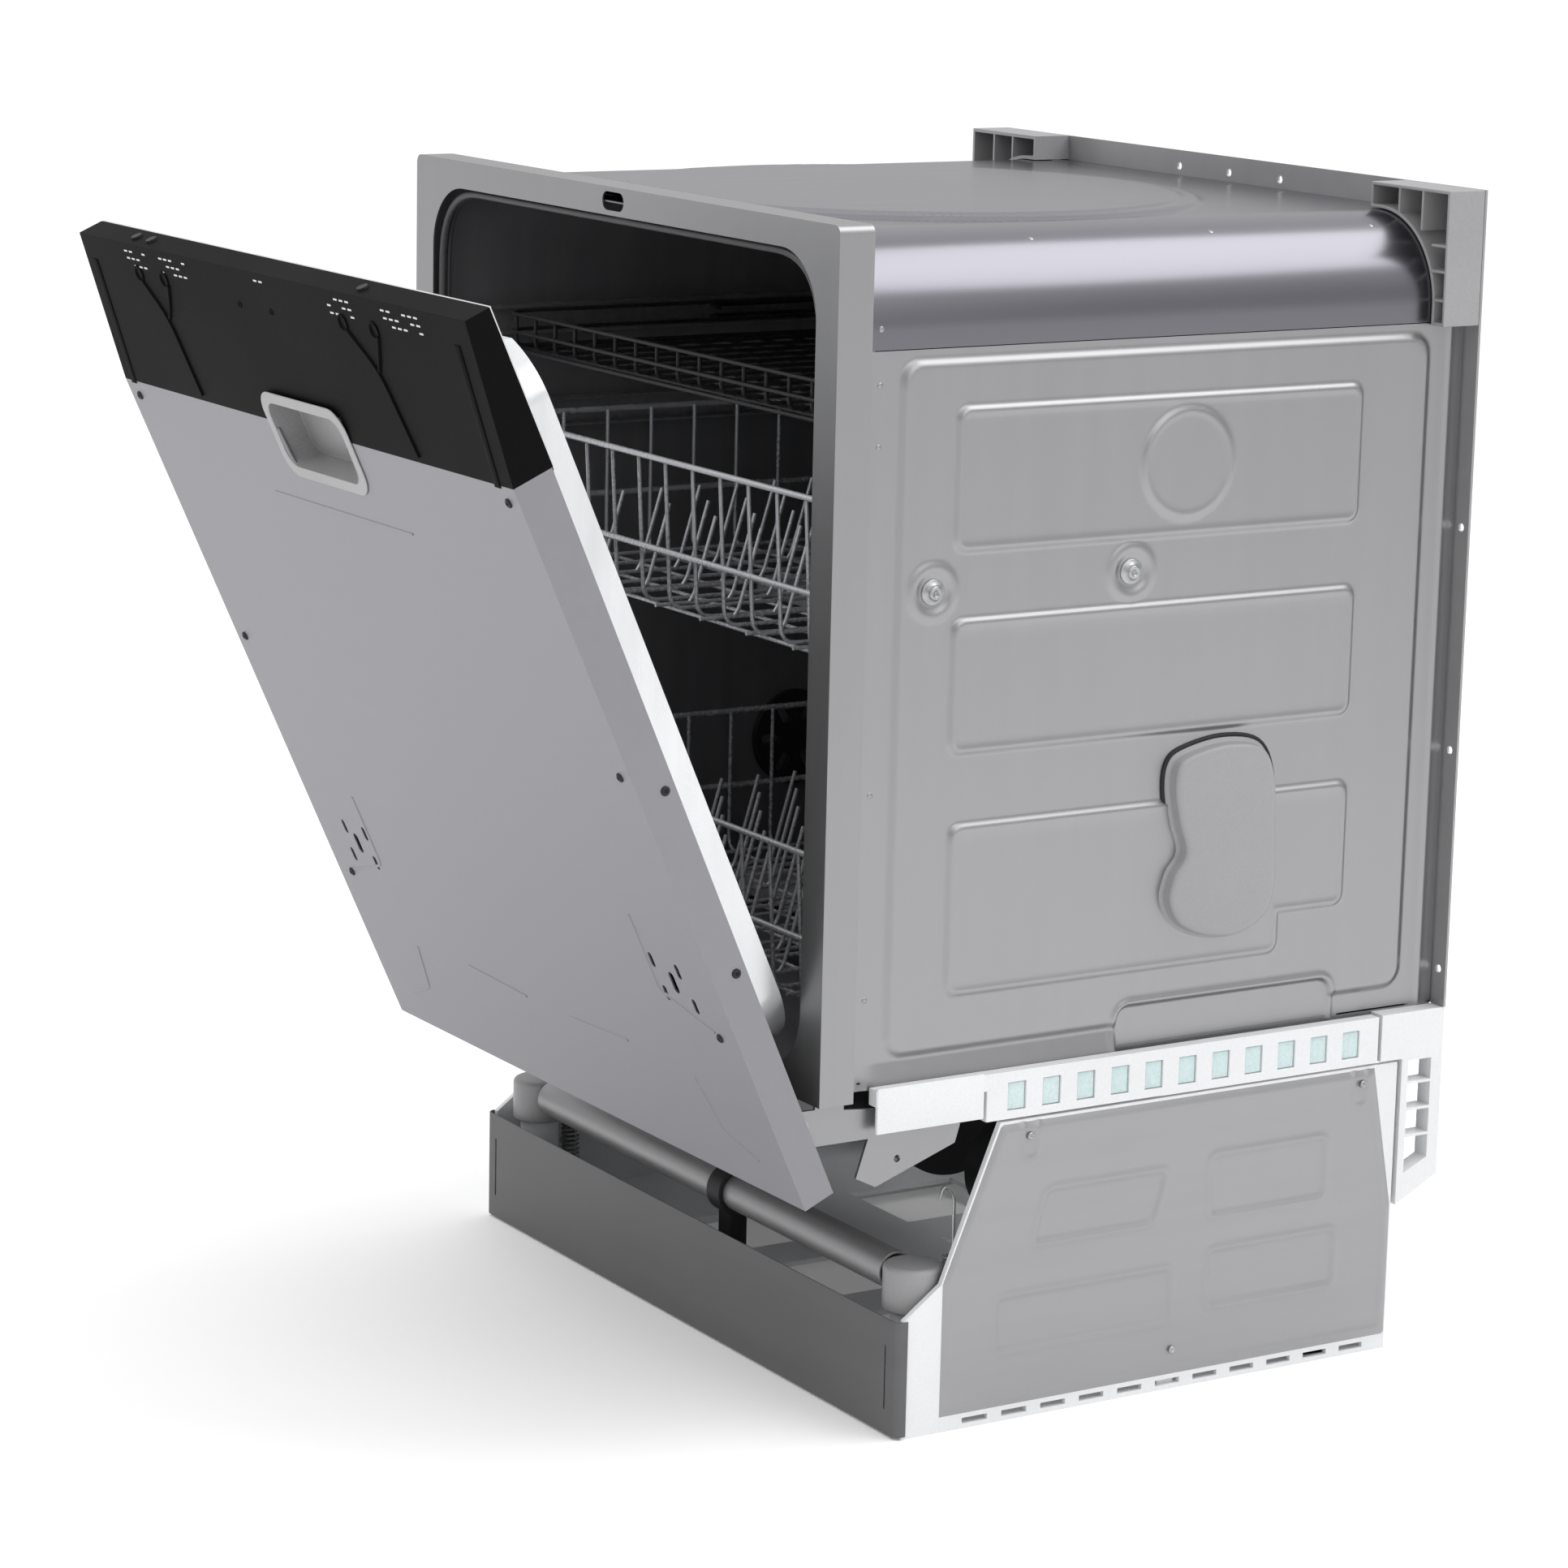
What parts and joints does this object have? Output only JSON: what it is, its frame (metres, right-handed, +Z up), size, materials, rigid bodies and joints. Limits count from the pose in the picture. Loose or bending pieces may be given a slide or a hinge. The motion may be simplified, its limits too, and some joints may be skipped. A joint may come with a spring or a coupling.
{
  "type": "built-in dishwasher",
  "caption": "Built-in dishwasher with a tilting front door, wire baskets, spray arms and an open steel tub on a plastic base.",
  "frame": {"origin": "floor level, middle of the base", "axes": "+X right as seen from the front, +Y to the back, +Z up"},
  "size_m": [0.6004, 0.8074, 0.845],
  "materials": {
    "tub_steel": "satin, pressed",
    "frame_steel": "satin",
    "door_steel": "satin grey",
    "liner_steel": "bright satin",
    "console_plastic": "fine matte black",
    "cup_plastic": "satin grey",
    "white_plastic": "white",
    "cover_steel": "satin grey",
    "kick_steel": "satin dark grey",
    "cover_plastic": "grey",
    "dark_plastic": "dark grey",
    "seal_rubber": "matte",
    "wire_coat": "nylon-coated grey",
    "zinc_steel": "zinc plated"
  },
  "bodies": {
    "cabinet": {"air_break": "white_plastic", "base_tray": "white_plastic", "beam_clip": "dark_plastic", "ceiling_spray": "liner_steel", "corner_block_left": "white_plastic", "corner_block_right": "white_plastic", "door_seal": "seal_rubber", "door_springs": "zinc_steel", "drain_pump": "dark_plastic", "front_beam": "kick_steel", "front_frame": "frame_steel", "hinge_plate_left": "frame_steel", "hinge_plate_right": "frame_steel", "kick_plate": "kick_steel", "leg_caps": "cover_plastic", "plate_screws": "zinc_steel", "rack_rails": "zinc_steel", "rail_bolts": "zinc_steel", "rear_column_left": "white_plastic", "rear_column_right": "white_plastic", "rear_frame": "frame_steel", "side_plate_left": "cover_steel", "side_plate_right": "cover_steel", "sump": "cover_plastic", "support_rail_left": "white_plastic", "support_rail_right": "white_plastic", "tub_floor": "tub_steel", "tub_rear_wall": "tub_steel", "tub_shell": "tub_steel", "vent_cover": "cover_plastic", "wall_grille": "dark_plastic", "wash_pump": "dark_plastic", "water_softener": "white_plastic"},
    "door": {"door_panel": "door_steel", "door_liner": "liner_steel", "console": "console_plastic", "handle_cup": "cup_plastic", "hinge_arms": "zinc_steel", "door_latch": "liner_steel", "dispenser": "cover_plastic", "door_screws": "zinc_steel"},
    "upper_basket": {"upper_rack": "wire_coat"},
    "upper_arm": {"upper_spray_arm": "cover_plastic"},
    "lower_basket": {"lower_rack": "wire_coat"},
    "front_wheels": {"rack_wheels_front": "dark_plastic"},
    "rear_wheels": {"rack_wheels_rear": "dark_plastic"},
    "tray": {"cutlery_tray": "cover_plastic"},
    "lower_arm": {"lower_spray_arm": "cover_plastic"},
    "lid": {"dispenser_lid": "cover_plastic"},
    "rinse_cap": {"rinse_cap": "cover_plastic"},
    "salt_cap": {"salt_cap": "cover_plastic"},
    "filter": {"filter_cup": "cover_plastic"},
    "power_button": {"power_button": "dark_plastic"},
    "program_button": {"program_button": "dark_plastic"},
    "start_button": {"start_button": "dark_plastic"},
    "foot_front_left": {"foot_front_left": "zinc_steel"},
    "foot_front_right": {"foot_front_right": "zinc_steel"},
    "foot_rear_left": {"foot_rear_left": "zinc_steel"},
    "foot_rear_right": {"foot_rear_right": "zinc_steel"}
  },
  "joints": [
    {"name": "door_hinge", "type": "hinge", "parent": "cabinet", "child": "door", "pos_m": [0, -0.314, 0.232], "axis": [1, 0, 0], "range_deg": [-24.4, 65.6]},
    {"name": "upper_basket_slide", "type": "slide", "parent": "cabinet", "child": "upper_basket", "axis": [0, -1, 0], "range_m": [0, 0.12]},
    {"name": "lower_basket_slide", "type": "slide", "parent": "cabinet", "child": "lower_basket", "axis": [0, -1, 0], "range_m": [0, 0.03]},
    {"name": "tray_slide", "type": "slide", "parent": "cabinet", "child": "tray", "axis": [0, -1, 0], "range_m": [0, 0.21]},
    {"name": "upper_arm_spin", "type": "hinge", "parent": "upper_basket", "child": "upper_arm", "pos_m": [0, -0.04, 0.508], "axis": [0, 0, 1], "continuous": true},
    {"name": "lower_arm_spin", "type": "hinge", "parent": "cabinet", "child": "lower_arm", "pos_m": [0, -0.04, 0.27], "axis": [0, 0, 1], "continuous": true},
    {"name": "front_wheel_roll", "type": "hinge", "parent": "lower_basket", "child": "front_wheels", "pos_m": [0, -0.19, 0.2723], "axis": [1, 0, 0], "range_deg": [0, 108]},
    {"name": "rear_wheel_roll", "type": "hinge", "parent": "lower_basket", "child": "rear_wheels", "pos_m": [0, 0.1, 0.2723], "axis": [1, 0, 0], "range_deg": [0, 108]},
    {"name": "lid_hinge", "type": "hinge", "parent": "door", "child": "lid", "pos_m": [0.045, -0.38479, 0.49626], "axis": [-1, 0, 0], "range_deg": [0, 100]},
    {"name": "rinse_cap_turn", "type": "hinge", "parent": "door", "child": "rinse_cap", "pos_m": [0.14, -0.4063, 0.53811], "axis": [0, 0.9107, 0.4131], "range_deg": [0, 90]},
    {"name": "salt_cap_turn", "type": "hinge", "parent": "cabinet", "child": "salt_cap", "pos_m": [-0.15, -0.17, 0.26], "axis": [0, 0, 1], "range_deg": [0, 270]},
    {"name": "filter_turn", "type": "hinge", "parent": "cabinet", "child": "filter", "pos_m": [0.048, -0.01, 0.24], "axis": [0, 0, 1], "range_deg": [0, 90]},
    {"name": "power_button_press", "type": "slide", "parent": "door", "child": "power_button", "axis": [0, 0.4131, -0.9107], "range_m": [0, 0.0015], "stiffness_N_per_m": 300},
    {"name": "program_button_press", "type": "slide", "parent": "door", "child": "program_button", "axis": [0, 0.4131, -0.9107], "range_m": [0, 0.0015], "stiffness_N_per_m": 300},
    {"name": "start_button_press", "type": "slide", "parent": "door", "child": "start_button", "axis": [0, 0.4131, -0.9107], "range_m": [0, 0.0015], "stiffness_N_per_m": 300},
    {"name": "foot_front_left_screw", "type": "slide", "parent": "cabinet", "child": "foot_front_left", "axis": [0, 0, -1], "range_m": [0, 0.05]},
    {"name": "foot_front_right_screw", "type": "slide", "parent": "cabinet", "child": "foot_front_right", "axis": [0, 0, -1], "range_m": [0, 0.05]},
    {"name": "foot_rear_left_screw", "type": "slide", "parent": "cabinet", "child": "foot_rear_left", "axis": [0, 0, -1], "range_m": [0, 0.05]},
    {"name": "foot_rear_right_screw", "type": "slide", "parent": "cabinet", "child": "foot_rear_right", "axis": [0, 0, -1], "range_m": [0, 0.05]}
  ],
  "couplings": [
    {"joint": "front_wheel_roll", "follows": "lower_basket_slide", "rad_per_m": 62.5},
    {"joint": "rear_wheel_roll", "follows": "lower_basket_slide", "rad_per_m": 62.5}
  ]
}
